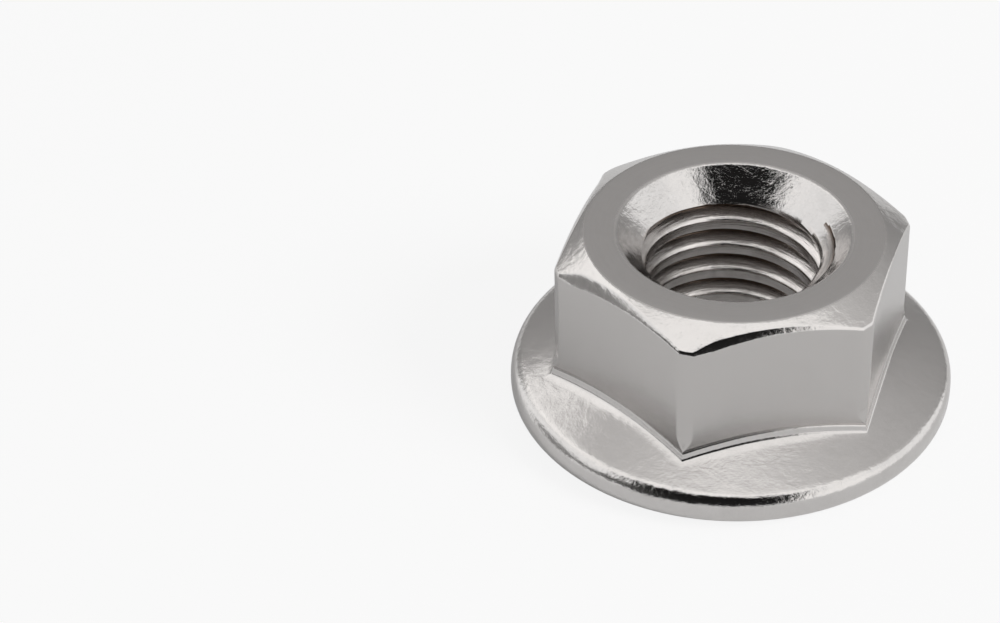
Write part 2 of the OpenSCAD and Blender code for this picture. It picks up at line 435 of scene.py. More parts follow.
@dataclass
class HexHead:
    """Hexagon of the nut, from the flat top face to the foot of its fillet.

    Attributes:
        flange: Flange that the hexagon stands on.
        mouth: Mouth in the top face.
        across_flats: Distance between two opposite flats.
        corner_radius: Radius of the turned corners.
        corner_softness: Reach of the rounding between a corner and the flats beside it.
        corner_flare: How much more the fillet stands out at a corner than at a flat.
        corner_growth: How far the corners stand out more at their foot.
        growth_height: Height over which they grow.
        growth_power: How late they start to grow on the way down.
        side_steps: Number of rings down the side as far as there.
        growth_steps: Number of rings from there to the fillet.
        top_flat_radius: Radius where the top face would meet the chamfer.
        top_steps: Number of rings across the top face.
        chamfer: Slope of the turned chamfer below the horizontal.
        chamfer_steps: Number of rings across the chamfer.
        top_edge_radius: Radius of the edge between the top face and the chamfer.
        top_edge_steps: Number of chords round that edge.
        least_edge: Width of the eased edge under the chamfer where it is narrowest.
        most_edge: Width of that edge where it could be widest.
        edge_room: Largest share of the chamfer's width that the edge takes.
        edge_tilts: Tilts of the edge's chords from straight down, in degrees.
        edge_start: Lengths of its first chords, which don't widen.
        edge_chords: Number of chords that share its width.
        edge_end: Lengths of its last chords, which don't widen.
        edge_onset: Share of a flat over which it widens from a corner.
        worn_side: Angle of the side with the widest edge.
        worn_power: How much narrower the edge is away from that side.
        fillet_crease: Distances out and down of the crease that starts the fillet.
        fillet_tilts: Tilts of the fillet's chords from straight down, in degrees.
        fillet_lengths: Lengths of those chords.
        gather: Spacing of the columns at a corner, as a share of even spacing.
        gather_power: How near to a corner the columns gather.
        flat_rings: Number of rings over which the columns gather on the top face.
    """

    flange: "Flange"
    mouth: BellMouth
    across_flats: float = 12.8 * MM
    corner_radius: float = 7.23 * MM
    corner_softness: float = 0.025 * MM
    corner_flare: float = 2.2
    corner_growth: float = 0.2 * MM
    growth_height: float = 0.65 * MM
    growth_power: float = 1.5
    side_steps: int = 4
    growth_steps: int = 6
    top_flat_radius: float = 5.95 * MM
    top_steps: int = 3
    chamfer: float = math.radians(31)
    chamfer_steps: int = 4
    top_edge_radius: float = 0.3 * MM
    top_edge_steps: int = 4
    least_edge: float = 0.08 * MM
    most_edge: float = 0.6 * MM
    edge_room: float = 0.85
    edge_tilts: tuple[float, ...] = (53, 45, 39, 37, 35, 32, 29, 21, 13, 4)
    edge_start: tuple[float, ...] = (0.015 * MM, 0.015 * MM)
    edge_chords: int = 5
    edge_end: tuple[float, ...] = (0.03 * MM, 0.035 * MM, 0.04 * MM)
    edge_onset: float = 0.15
    worn_side: float = math.radians(190)
    worn_power: float = 1.5
    fillet_crease: tuple[Point, ...] = ((0.0, 0.0), (-0.018 * MM, 0.026 * MM),
                                        (0.004 * MM, 0.055 * MM))
    fillet_tilts: tuple[float, ...] = (12, 13, 14, 18, 30, 42, 54, 58, 60, 61, 62, 65)
    fillet_lengths: tuple[float, ...] = tuple(length * MM for length in (
        0.07, 0.07, 0.06, 0.03, 0.03, 0.03, 0.03, 0.05, 0.06, 0.07, 0.08, 0.07))
    gather: float = 0.28
    gather_power: float = 1.5
    flat_rings: int = 4

    @property
    def apothem(self) -> float:
        """Distance from the axis to a flat."""
        return self.across_flats / 2

    def turn_of(self, column: int) -> float:
        """Angle of a column, with the columns gathered towards the corners.

        Args:
            column: Column of the lathe.

        Returns:
            The angle about the axis.
        """
        even = math.tau * column / COLUMNS
        nearest = round(even / SIDE_TURN) * SIDE_TURN
        off = even - nearest
        share = abs(off) / (SIDE_TURN / 2)
        gathered = off * (self.gather + (1.0 - self.gather) * share ** self.gather_power)
        return HEX_TURN + nearest + gathered

    def side_radius(self, turn: float, flare: float = 0.0, growth: float = 0.0) -> float:
        """Distance from the axis to the hexagon's side.

        Args:
            turn: Angle about the axis.
            flare: How far the fillet stands out from the flats here.
            growth: How far the turned corner stands out more than higher up.

        Returns:
            The distance at that angle, with the turned corner softened into the flats.
        """
        off = (turn - HEX_TURN) % SIDE_TURN - SIDE_TURN / 2
        flat = (self.apothem + flare) / math.cos(off)
        corner = self.corner_radius + self.corner_flare * flare + growth
        return soft_min(flat, corner, self.corner_softness)

    def edge_profile(self, turn: float) -> list[Point]:
        """Section of the eased edge under the chamfer.

        Forming has left it wider on one side of the nut, and wider towards one end of a flat.

        Args:
            turn: Angle about the axis.

        Returns:
            The distances out and down from the chamfer's end to the flat's start.
        """
        share = (turn - HEX_TURN) % SIDE_TURN / SIDE_TURN
        worn = facing(turn, self.worn_side) ** self.worn_power
        along = smooth_step(share / self.edge_onset) * (1.0 - share ** 2)
        width = mix(self.least_edge, self.most_edge, worn * along)
        middle = [width / self.edge_chords] * self.edge_chords
        lengths = [*self.edge_start, *middle, *self.edge_end]
        return walk([(0.0, 0.0)], self.edge_tilts, lengths)

    def fillet(self) -> list[Point]:
        """Section of the fillet, as distances out from the flat and down from the crease."""
        return walk(list(self.fillet_crease), self.fillet_tilts, self.fillet_lengths)

    def foot_radius(self, turn: float) -> float:
        """Distance from the axis to the outer end of the fillet."""
        return self.side_radius(turn, self.fillet()[-1][0], self.corner_growth)

    def top(self) -> list[Point]:
        """Section of the top face and of the edge round it.

        Returns:
            Distances from the axis, and heights, from the mouth's edge outwards.
        """
        inner = self.mouth.edge_radius
        flat_end = self.top_flat_radius - self.top_edge_radius * math.tan(self.chamfer / 2)
        centre = (flat_end, NUT_HEIGHT - self.top_edge_radius)
        points = [(r, NUT_HEIGHT) for r in [inner] + spread(inner, flat_end, self.top_steps)]
        edge = arc(centre, self.top_edge_radius, QUARTER, QUARTER - self.chamfer,
                   self.top_edge_steps)
        return points + edge[1:]

    def edge(self, turn: float) -> list[Point]:
        """Section of the eased edge under the chamfer, in its place.

        Args:
            turn: Angle about the axis.

        Returns:
            Distances from the axis, and heights, from the chamfer's end to the flat's start.
        """
        profile = self.edge_profile(turn)
        side, width = self.side_radius(turn), profile[-1][0]
        scale = min(1.0, self.edge_room * (side - self.top_flat_radius) / width)
        first_r = side - scale * width
        first_z = NUT_HEIGHT - (first_r - self.top_flat_radius) * math.tan(self.chamfer)
        return [(first_r + scale * out, first_z - scale * drop) for out, drop in profile]

    def side(self, turn: float, top_z: float) -> list[Point]:
        """Section of the side and of the fillet at its foot.

        Args:
            turn: Angle about the axis.
            top_z: Height where the side starts.

        Returns:
            Distances from the axis, and heights, from below the start down to the cone.
        """
        fillet = self.fillet()
        crease_z = self.flange.cone_z(self.foot_radius(turn)) + fillet[-1][1]
        growth_z = crease_z + self.growth_height
        heights = spread(top_z, growth_z, self.side_steps)
        heights += spread(growth_z, crease_z, self.growth_steps)
        points = []
        for height in heights:
            near = max(1.0 - (height - crease_z) / self.growth_height, 0.0)
            growth = self.corner_growth * near ** self.growth_power
            points.append((self.side_radius(turn, 0.0, growth), height))
        return points + [(self.side_radius(turn, out, self.corner_growth), crease_z - drop)
                         for out, drop in fillet[1:]]

    def section(self, turn: float) -> list[Point]:
        """Section of the hexagon, from the mouth's edge to the fillet's foot.

        Args:
            turn: Angle about the axis.

        Returns:
            Distances from the axis, and heights.
        """
        top, edge = self.top(), self.edge(turn)
        (start_r, start_z), (end_r, end_z) = top[-1], edge[0]
        shares = spread(0, 1, self.chamfer_steps)
        chamfer = [(mix(start_r, end_r, s), mix(start_z, end_z, s)) for s in shares]
        return top + chamfer + edge[1:] + self.side(turn, edge[-1][1])

    def zones(self) -> list[Zone]:
        """Finish of each band of the section; each edge is shared by the two beside it."""
        return [Zone.TOP] * 5 + [Zone.CHAMFER] * 14 + [Zone.FLAT] * 12 + [Zone.FLANGE] * 14

    def build(self, bm: bmesh.types.BMesh) -> None:
        """Adds the hexagon's skin.

        Args:
            bm: Mesh of the nut.
        """
        turns = [self.turn_of(column) for column in range(COLUMNS)]
        sections = [self.section(turn) for turn in turns]

        def place(column: int, ring: int) -> Vector:
            """Place of a column and a ring of the hexagon.

            Args:
                column: Column of the lathe.
                ring: Ring from the mouth's edge outwards and down.

            Returns:
                The place on the hexagon's skin.
            """
            radius, height = sections[column][ring]
            gathered = min(ring / self.flat_rings, 1.0)
            return polar(radius, mix(column_turn(column), turns[column], gathered), height)

        turn_rings(bm, self.zones(), place)


@dataclass
class Flange:
    """Flange of the nut: a conical top and a rounded rim.

    Attributes:
        radius: Radius of the flange.
        cone_slope: Slope of the conical top below the horizontal.
        cone_steps: Number of rings across the cone.
        top_rounding: Radius of the rim's upper edge.
        worn_rounding: Radius of that edge on the side where forming has filled it least.
        worn_side: Angle of that side.
        worn_power: How narrow that side is.
        side_top: Height where the rim's upright side ends.
        low_rounding: Radius of the rim's lower edge.
        rim_steps: Numbers of chords round the upper edge, down the side and round the lower.
        margin_z: Height of the plain margin outside the serrations.
        head: Hexagon that stands on the flange.
        teeth: Serrations under the flange.
    """

    radius: float = FLANGE_RADIUS
    cone_slope: float = math.radians(23)
    cone_steps: int = 8
    top_rounding: float = 0.55 * MM
    worn_rounding: float = 0.9 * MM
    worn_side: float = math.radians(208)
    worn_power: int = 5
    side_top: float = 1.134 * MM
    low_rounding: float = 0.55 * MM
    rim_steps: tuple[int, int, int] = (9, 3, 10)
    margin_z: float = 0.3 * MM
    head: "HexHead | None" = field(default=None, repr=False)
    teeth: "Serrations | None" = field(default=None, repr=False)

    @property
    def cone_edge(self) -> Point:
        """Edge where the conical top meets the rim.

        Returns:
            Its distance from the axis, and its height.
        """
        up = QUARTER - self.cone_slope
        return (self.radius - self.top_rounding * (1.0 - math.cos(up)),
                self.side_top + self.top_rounding * math.sin(up))

    @property
    def margin_radius(self) -> float:
        """Radius where the rim's lower edge ends on the bearing side."""
        return self.radius - self.low_rounding

    def cone_z(self, radius: float) -> float:
        """Height of the conical top at a distance from the axis."""
        edge_r, edge_z = self.cone_edge
        return edge_z + (edge_r - radius) * math.tan(self.cone_slope)

    def rim(self, turn: float) -> list[Point]:
        """Section of the rim, from the cone's edge to the margin.

        Args:
            turn: Angle about the axis.

        Returns:
            Distances from the axis, and heights.
        """
        up = QUARTER - self.cone_slope
        worn = facing(turn, self.worn_side) ** self.worn_power
        rounding = mix(self.top_rounding, self.worn_rounding, worn)
        side_top = self.side_top - (rounding - self.top_rounding) * math.tan(up / 2)
        low_z = self.margin_z + self.low_rounding
        upper_steps, side_steps, lower_steps = self.rim_steps
        upper = arc((self.radius - rounding, side_top), rounding, up, 0.0, upper_steps)
        upright = [(self.radius, height) for height in spread(side_top, low_z, side_steps)]
        lower = arc((self.margin_radius, low_z), self.low_rounding, 0.0, -QUARTER, lower_steps)
        return upper + upright + lower[1:]

    def build(self, bm: bmesh.types.BMesh) -> None:
        """Adds the cone from the fillet's foot outwards, and the rim down to the margin.

        Args:
            bm: Mesh of the nut.
        """
        rims = [self.rim(column_turn(column)) for column in range(COLUMNS)]
        rim_bands = sum(self.rim_steps)

        def place(column: int, ring: int) -> Vector:
            """Place of a column and a ring of the flange.

            Args:
                column: Column of the lathe.
                ring: Ring from the fillet's foot outwards.

            Returns:
                The place on the cone or, past its last ring, on the rim.
            """
            rim, even = rims[column], column_turn(column)
            if ring <= self.cone_steps:
                corner = self.head.turn_of(column)
                share = ring / self.cone_steps
                radius = mix(self.head.foot_radius(corner), rim[0][0], share)
                return polar(radius, mix(corner, even, smooth_step(share)), self.cone_z(radius))
            radius, height = rim[ring - self.cone_steps]
            share = smooth_step((ring - self.cone_steps) / rim_bands)
            return polar(radius, mix(even, self.teeth.outer_turn(column), share), height)

        turn_rings(bm, [Zone.FLANGE] * self.cone_steps + [Zone.RIM] * rim_bands, place)


@dataclass
class Serrations:
    """Ring of curved ratchet teeth on the bearing side, with the flat ring inside it.

    Across the pitch, a tooth climbs a ramp to its crest, keeps a band that falls gently, and
    drops down a steep step. Towards the inner end, the crest sinks and the band widens.

    Attributes:
        flange: Flange that carries the teeth.
        mouth: Mouth that the flat ring ends at.
        height: Height of a crest over the valley before it.
        sweep: Angle that a full quarter turn of a tooth's curve would cover.
        bend_end: How far along its quarter turn a tooth's curve ends.
        bend_steps: Number of chords along a tooth's curve.
        bend_power: How evenly they share the bend: 1 is evenly.
        inner_radius: Radius that the inner ends of the teeth reach.
        scallop: Depth of the scallops between the inner ends.
        ring_z: Height of the flat ring inside the teeth.
        ring_steps: Number of rings across the flat ring.
        wall_lean: How far the teeth's inner wall leans in, as a share of its height.
        wall_steps: Number of rings down that wall.
        step_width: Width of the steep step.
        most_step: Largest share of the pitch that the step takes.
        band_width: Width of the band at the outer end.
        band_growth: How much wider the band is at the inner end.
        most_band: Largest share of the pitch that the band takes.
        band_drops: How far the band falls at the outer and at the inner end.
        drop_pace: How early on the way inwards it falls as far as at the inner end.
        drop_power: How rounded the band is: 1 is plain.
        band_marks: Shares of the band at which it has its columns.
        ramp_columns: Number of columns of the ramp.
        crest_fall: How far the crest sinks at the inner end.
        fall_power: How late on the way inwards it sinks.
        least_squareness: Least squareness that the widths are measured with.
    """

    flange: Flange
    mouth: BellMouth
    height: float = 0.3 * MM
    sweep: float = math.radians(30)
    bend_end: float = math.radians(80)
    bend_steps: int = 14
    bend_power: float = 0.9
    inner_radius: float = 6.2 * MM
    scallop: float = 0.14 * MM
    ring_z: float = 0.32 * MM
    ring_steps: int = 4
    wall_lean: float = 0.5
    wall_steps: int = 2
    step_width: float = 0.09 * MM
    most_step: float = 0.1
    band_width: float = 0.4 * MM
    band_growth: float = 1.5
    most_band: float = 0.6
    band_drops: tuple[float, float] = (0.05 * MM, 0.2 * MM)
    drop_pace: float = 1.3
    drop_power: float = 1.5
    band_marks: tuple[float, ...] = (0.12, 0.35, 0.7, 1.0)
    ramp_columns: int = 9
    crest_fall: float = 0.1 * MM
    fall_power: int = 4
    least_squareness: float = 0.18

    def outer_turn(self, column: int) -> float:
        """Angle of a column at the outer ends of the teeth."""
        return self.turn_of(column, 0.0)

    def profile(self, column: int, bend: float) -> tuple[float, float]:
        """Share of the pitch and height of a column of a tooth, at a bend of its curve.

        Args:
            column: Column of the lathe.
            bend: Bend angle of the tooth's curve, 0 at its outer end.

        Returns:
            The share of the pitch from the valley, and the height over the valley.
        """
        square = max(self.squareness(bend), self.least_squareness)
        pitch_length = self.radius_at(bend) * math.tau / TEETH * square
        inward = bend / self.bend_end
        step = min(self.step_width / pitch_length, self.most_step)
        width = mix(self.band_width, self.band_growth * self.band_width, inward)
        band = min(width / pitch_length, self.most_band)
        crest = 1.0 - step - band
        drop = mix(*self.band_drops, smooth_step(inward * self.drop_pace))
        top = self.height - self.crest_fall * inward ** self.fall_power
        part = column % COLUMNS_PER_TOOTH
        if part <= self.ramp_columns:
            share = part / self.ramp_columns
            return crest * share, top * share
        past = part - self.ramp_columns
        marks = len(self.band_marks)
        if past <= marks:
            mark = self.band_marks[past - 1]
            return crest + band * mark, top - drop * mark ** self.drop_power
        left = 1.0 - (past - marks) / (COLUMNS_PER_TOOTH - self.ramp_columns - marks)
        return 1.0 - step * left, (top - drop) * left

    def radius_at(self, bend: float) -> float:
        """Mean radius of the teeth at a bend of their curve."""
        outer = self.flange.margin_radius - self.height
        return outer - (outer - self.inner_radius) * math.sin(bend) / math.sin(self.bend_end)

    def squareness(self, bend: float) -> float:
        """How square to the ring a tooth's curve runs.

        Args:
            bend: Bend angle of the tooth's curve.

        Returns:
            1 along the radius, and 0 along the ring.
        """
        along = self.radius_at(bend) * self.sweep * math.sin(bend)
        inward = (self.flange.margin_radius - self.inner_radius) * math.cos(bend)
        return inward / math.hypot(inward, along)

    def turn_of(self, column: int, bend: float) -> float:
        """Angle of a column where the teeth have turned by a bend angle.

        Args:
            column: Column of the lathe.
            bend: Bend angle of the tooth's curve.

        Returns:
            The angle about the axis.
        """
        tooth = column // COLUMNS_PER_TOOTH
        share, _ = self.profile(column, bend)
        return TOOTH_TURN + TOOTH_TURN * (tooth + share) - self.sweep * (1.0 - math.cos(bend))

    def tooth_point(self, column: int, bend: float) -> tuple[float, float, float]:
        """Point on a tooth.

        Args:
            column: Column of the lathe.
            bend: Bend angle of the tooth's curve.

        Returns:
            The point's distance from the axis, its angle and its height.
        """
        share, rise = self.profile(column, bend)
        outer = self.flange.margin_radius - rise
        inner = self.inner_radius + self.scallop * (1.0 - math.sin(math.pi * share))
        radius = outer - (outer - inner) * math.sin(bend) / math.sin(self.bend_end)
        return radius, self.turn_of(column, bend), self.flange.margin_z - rise

    def build(self, bm: bmesh.types.BMesh) -> None:
        """Adds the bearing side from the margin to the lower mouth.

        Args:
            bm: Mesh of the nut.
        """
        shares = [step / self.bend_steps for step in range(self.bend_steps + 1)]
        bends = [self.bend_end * share ** self.bend_power for share in shares]
        back = column_turn(0) - self.sweep * (1.0 - math.cos(self.bend_end))
        shift = round((back - column_turn(0)) / (math.tau / COLUMNS))

        def place(column: int, ring: int) -> Vector:
            """Place of a column and a ring of the bearing side.

            Args:
                column: Column of the lathe.
                ring: Ring from the margin inwards.

            Returns:
                The place on the margin, a tooth, the wall inside the teeth or the flat ring.
            """
            if ring == 0:
                margin = self.flange
                return polar(margin.margin_radius, self.outer_turn(column), margin.margin_z)
            if ring <= len(bends):
                return polar(*self.tooth_point(column, bends[ring - 1]))
            radius, turn, height = self.tooth_point(column, self.bend_end)
            foot_r = radius - self.wall_lean * (self.ring_z - height)
            share = (ring - len(bends)) / self.wall_steps
            if share <= 1.0:
                return polar(mix(radius, foot_r, share), turn, mix(height, self.ring_z, share))
            share = (ring - len(bends) - self.wall_steps) / self.ring_steps
            even = mix(turn, column_turn(column + shift), smooth_step(share))
            return polar(mix(foot_r, self.mouth.edge_radius, share), even, self.ring_z)

        zones = [Zone.SERRATION] * (len(bends) + self.wall_steps)
        turn_rings(bm, zones + [Zone.INNER_RING] * self.ring_steps, place)


@dataclass
class FlangeNut:
    """The whole nut, put together from its parts.

    Attributes:
        name: Name of the nut's object.
    """

    name: str = "flange_nut_body"

    def build(self) -> bpy.types.Object:
        """Builds the nut's mesh.

        Returns:
            The nut as an object at the origin, with its place in its mesh.
        """
        upper = BellMouth(face_z=NUT_HEIGHT, up=1, edge_radius=4.75 * MM, depth=1.04 * MM,
                          foot_radius=3.6 * MM, rounding=0.22 * MM)
        lower = BellMouth(face_z=Serrations.ring_z, up=-1, edge_radius=4.95 * MM,
                          depth=1.2 * MM, foot_radius=3.74 * MM, rounding=0.45 * MM)
        flange = Flange()
        flange.head = HexHead(flange, upper)
        flange.teeth = Serrations(flange, lower)
        thread = Thread(upper, lower)
        bm = bmesh.new()
        flange.head.build(bm)
        flange.build(bm)
        flange.teeth.build(bm)
        upper.build(bm, thread.top_z)
        lower.build(bm, thread.low_z)
        thread.build(bm)
        return self.finish(bm)

    def finish(self, bm: bmesh.types.BMesh) -> bpy.types.Object:
        """Welds the parts into one closed skin, and makes it an object.

        Args:
            bm: Mesh with all the parts, which is freed.

        Returns:
            The nut, with its sharp edges marked.
        """
        bmesh.ops.remove_doubles(bm, verts=bm.verts, dist=WELD)
        bmesh.ops.dissolve_degenerate(bm, edges=bm.edges, dist=SLIVER)
        bmesh.ops.recalc_face_normals(bm, faces=bm.faces)
        open_edges = [edge for edge in bm.edges if not edge.is_manifold]
        for edge in bm.edges:
            edge.smooth = edge.calc_face_angle(0.0) < CREASE
        for face in bm.faces:
            face.smooth = True
        mesh = bpy.data.meshes.new(self.name)
        bm.to_mesh(mesh)
        bm.free()
        LOG.info("%s: %d faces, %d open edges", self.name, len(mesh.polygons), len(open_edges))
        nut = bpy.data.objects.new(self.name, mesh)
        bpy.context.scene.collection.objects.link(nut)
        return nut


class Grain(Enum):
    """Direction that the fine marks of a finish run in."""

    SPECKLE = "speckle"
    DRAWN = "drawn"
    TURNED = "turned"
    TAPPED = "tapped"


class Paint:
    """Node tree of one material, with short ways to add and join nodes."""

    def __init__(self, name: str) -> None:
        """Makes an empty material.

        Args:
            name: Name of the material.
        """
        self.material = bpy.data.materials.new(name)
        self.material.use_nodes = True
        self.tree = self.material.node_tree
        self.tree.nodes.clear()

    def feed(self, socket: bpy.types.NodeSocket, value: Any) -> None:
        """Joins a socket to an input, or sets the input's own value.

        Args:
            socket: Input of a node.
            value: Output of another node, or a value.
        """
        if isinstance(value, bpy.types.NodeSocket):
            self.tree.links.new(value, socket)
        else:
            socket.default_value = value

    def node(self, kind: str, **inputs: Any) -> bpy.types.Node:
        """Adds a node.

        Args:
            kind: Type name of the node, without its prefix.
            inputs: Sockets or values for inputs, by name with underscores for spaces; a name
                that is no input sets the node's own property.

        Returns:
            The new node.
        """
        made = self.tree.nodes.new(f"ShaderNode{kind}")
        for name, value in inputs.items():
            title = name.replace("_", " ")
            if title in made.inputs:
                self.feed(made.inputs[title], value)
            else:
                setattr(made, name, value)
        return made

    def reckon(self, operation: str, *values: Any) -> bpy.types.NodeSocket:
        """Adds a math node.

        Args:
            operation: Name of the operation.
            values: Its sockets or numbers.

        Returns:
            The result.
        """
        made = self.node("Math", operation=operation)
        for socket, value in zip(made.inputs, values):
            self.feed(socket, value)
        return made.outputs[0]

    def noise(self, place: bpy.types.NodeSocket, size: float, detail: float,
              distortion: float = 0.0, roughness: float = 0.62) -> bpy.types.NodeSocket:
        """Adds a noise pattern.

        Args:
            place: Coordinates of the pattern.
            size: Rough size of its marks.
            detail: Number of finer patterns in it.
            distortion: How far it is drawn out of shape.
            roughness: Strength of the finer patterns.

        Returns:
            The pattern's value.
        """
        return self.node("TexNoise", Vector=place, Scale=1.0 / size, Detail=detail,
                         Roughness=roughness, Distortion=distortion).outputs["Fac"]

    def ramp(self, value: bpy.types.NodeSocket, low: float, high: float, start: float = 0.0,
             end: float = 1.0) -> bpy.types.NodeSocket:
        """Maps a value from one range to another, clamped.

        Args:
            value: Value to map.
            low: Value that gives the start.
            high: Value that gives the end.
            start: First end of the new range.
            end: Other end of the new range.

        Returns:
            The mapped value.
        """
        return self.node("MapRange", Value=value, From_Min=low, From_Max=high, To_Min=start,
                         To_Max=end).outputs["Result"]

    def radius(self, parts: Sequence[bpy.types.NodeSocket]) -> bpy.types.NodeSocket:
        """Distance from the nut's axis, from the parts of a point."""
        squares = [self.reckon("POWER", part, 2.0) for part in parts[:2]]
        return self.reckon("SQRT", self.reckon("ADD", *squares))

    def blend(self, share: Any, first: Any, second: Any) -> bpy.types.NodeSocket:
        """Mixes two colours.

        Args:
            share: Share of the second colour.
            first: First colour.
            second: Second colour.

        Returns:
            The mixed colour.
        """
        made = self.node("Mix", data_type="RGBA")
        for index, value in ((0, share), (6, first), (7, second)):
            self.feed(made.inputs[index], value)
        return made.outputs[2]

    def finish(self, shader: bpy.types.NodeSocket) -> bpy.types.Material:
        """Joins the shader to the output and gives the material."""
        self.node("OutputMaterial", Surface=shader)
        return self.material


@dataclass(frozen=True)
class SteelFinish:
    """A finish of the steel.

    Attributes:
        zone: Zone of the nut that has the finish.
        colour: Colour of the clean metal; for the flats it is darkened as painted shade, and for
            the thread lightened as painted light.
        stain_and_root_shade: Colour of the metal where it is dull, and for a tapped finish also the
            painted shade at the thread's roots.
        stain_share: How far the dull spots reach that colour.
        stain_size: Size of the dull spots.
        roughness: Least roughness.
        roughness_more: Roughness added by the marks.
        grain: Direction of the fine marks.
        grain_size: Width of the fine marks.
        grain_depth: Depth of the fine marks.
        peel_size: Size of the soft dents left by forming and tumbling.
        peel_depth: Depth of those dents.
        rough_peel: Number of finer patterns in the dents, which make reflections ragged.
        root_shade_reach: Radii between which a tapped finish darkens towards the thread's roots, as
            painted shade in the grooves.
        spot_range: Values of the spots' pattern between which the metal turns dull.
        streak_range: Values of the marks' pattern between which it turns dull.
        streak_share: How dull the marks are beside the spots.
        rough_range: Values of both patterns together between which it turns rough.
        drawn_scale: Scale of drawn marks along the axis, which makes them long.
        turned_scale: Length of turned marks for each radian round the axis.
    """

    zone: Zone
    colour: Colour = (0.73, 0.71, 0.697)
    stain_and_root_shade: Colour = (0.42, 0.40, 0.385)
    stain_share: float = 0.25
    stain_size: float = 1.4 * MM
    roughness: float = 0.12
    roughness_more: float = 0.12
    grain: Grain = Grain.SPECKLE
    grain_size: float = 0.08 * MM
    grain_depth: float = 0.0012 * MM
    peel_size: float = 0.8 * MM
    peel_depth: float = 0.010 * MM
    rough_peel: float = 5.0
    root_shade_reach: tuple[float, float] = (3.76 * MM, 3.98 * MM)
    spot_range: tuple[float, float] = (0.45, 0.72)
    streak_range: tuple[float, float] = (0.35, 0.75)
    streak_share: float = 0.8
    rough_range: tuple[float, float] = (0.7, 1.3)
    drawn_scale: float = 0.06
    turned_scale: float = 0.25 * MM

    def marks(self, paint: Paint, own: bpy.types.NodeSocket) -> bpy.types.NodeSocket:
        """Adds the coordinates of the fine marks.

        Args:
            paint: Node tree of the finish.
            own: The object's own coordinates.

        Returns:
            The coordinates, drawn along the axis or around it where the marks are.
        """
        if self.grain is Grain.SPECKLE:
            return own
        if self.grain is Grain.DRAWN:
            drawn = paint.node("Mapping", Vector=own, Scale=(1.0, 1.0, self.drawn_scale))
            return drawn.outputs["Vector"]
        parts = paint.node("SeparateXYZ", Vector=own).outputs
        turn = paint.reckon("ARCTAN2", parts[1], parts[0])
        around = paint.reckon("MULTIPLY", turn, self.turned_scale)
        made = paint.node("CombineXYZ", X=around, Y=paint.radius(parts), Z=parts[2])
        return made.outputs["Vector"]

    def dullness_and_root_shade(self, paint: Paint, own: bpy.types.NodeSocket, grain: bpy.types.NodeSocket,
                 spots: bpy.types.NodeSocket) -> bpy.types.NodeSocket:
        """Adds the share of the dull colour, with the painted shade at the thread's roots.

        Args:
            paint: Node tree of the finish.
            own: The object's own coordinates.
            grain: Pattern of the fine marks.
            spots: Pattern of the dull spots.

        Returns:
            The share, which is whole at the roots of a tapped finish, as painted shade there.
        """
        dull = paint.ramp(spots, *self.spot_range)
        dull = paint.reckon("MULTIPLY", dull, self.stain_share)
        streak = paint.ramp(grain, *self.streak_range)
        streak = paint.reckon("MULTIPLY", streak, self.stain_share * self.streak_share)
        share = paint.reckon("ADD", dull, streak)
        # A tapped finish also gets painted shade: it darkens fully towards the thread's roots.
        if self.grain is not Grain.TAPPED:
            return share
        radius = paint.radius(paint.node("SeparateXYZ", Vector=own).outputs)
        return paint.reckon("MAXIMUM", share, paint.ramp(radius, *self.root_shade_reach))

    def material(self) -> bpy.types.Material:
        """Makes the finish's material.

        Returns:
            The material, named for its zone.
        """
        paint = Paint(f"steel_{self.zone.name.lower()}")
        own = paint.node("TexCoord").outputs["Object"]
        grain = paint.noise(self.marks(paint, own), self.grain_size, detail=3.0)
        peel = paint.noise(own, self.peel_size, detail=self.rough_peel, distortion=0.3)
        spots = paint.noise(own, self.stain_size, detail=4.0, distortion=0.6)
        share = self.dullness_and_root_shade(paint, own, grain, spots)
        tint = paint.blend(share, (*self.colour, 1.0), (*self.stain_and_root_shade, 1.0))
        rough = paint.ramp(paint.reckon("ADD", grain, spots), *self.rough_range,
                           self.roughness, self.roughness + self.roughness_more)
        dents = paint.node("Bump", Height=peel, Strength=1.0, Distance=self.peel_depth)
        fine = paint.node("Bump", Height=grain, Strength=1.0, Distance=self.grain_depth,
                          Normal=dents.outputs["Normal"])
        shader = paint.node("BsdfPrincipled", Base_Color=tint, Metallic=1.0, Roughness=rough,
                            Normal=fine.outputs["Normal"])
        return paint.finish(shader.outputs["BSDF"])


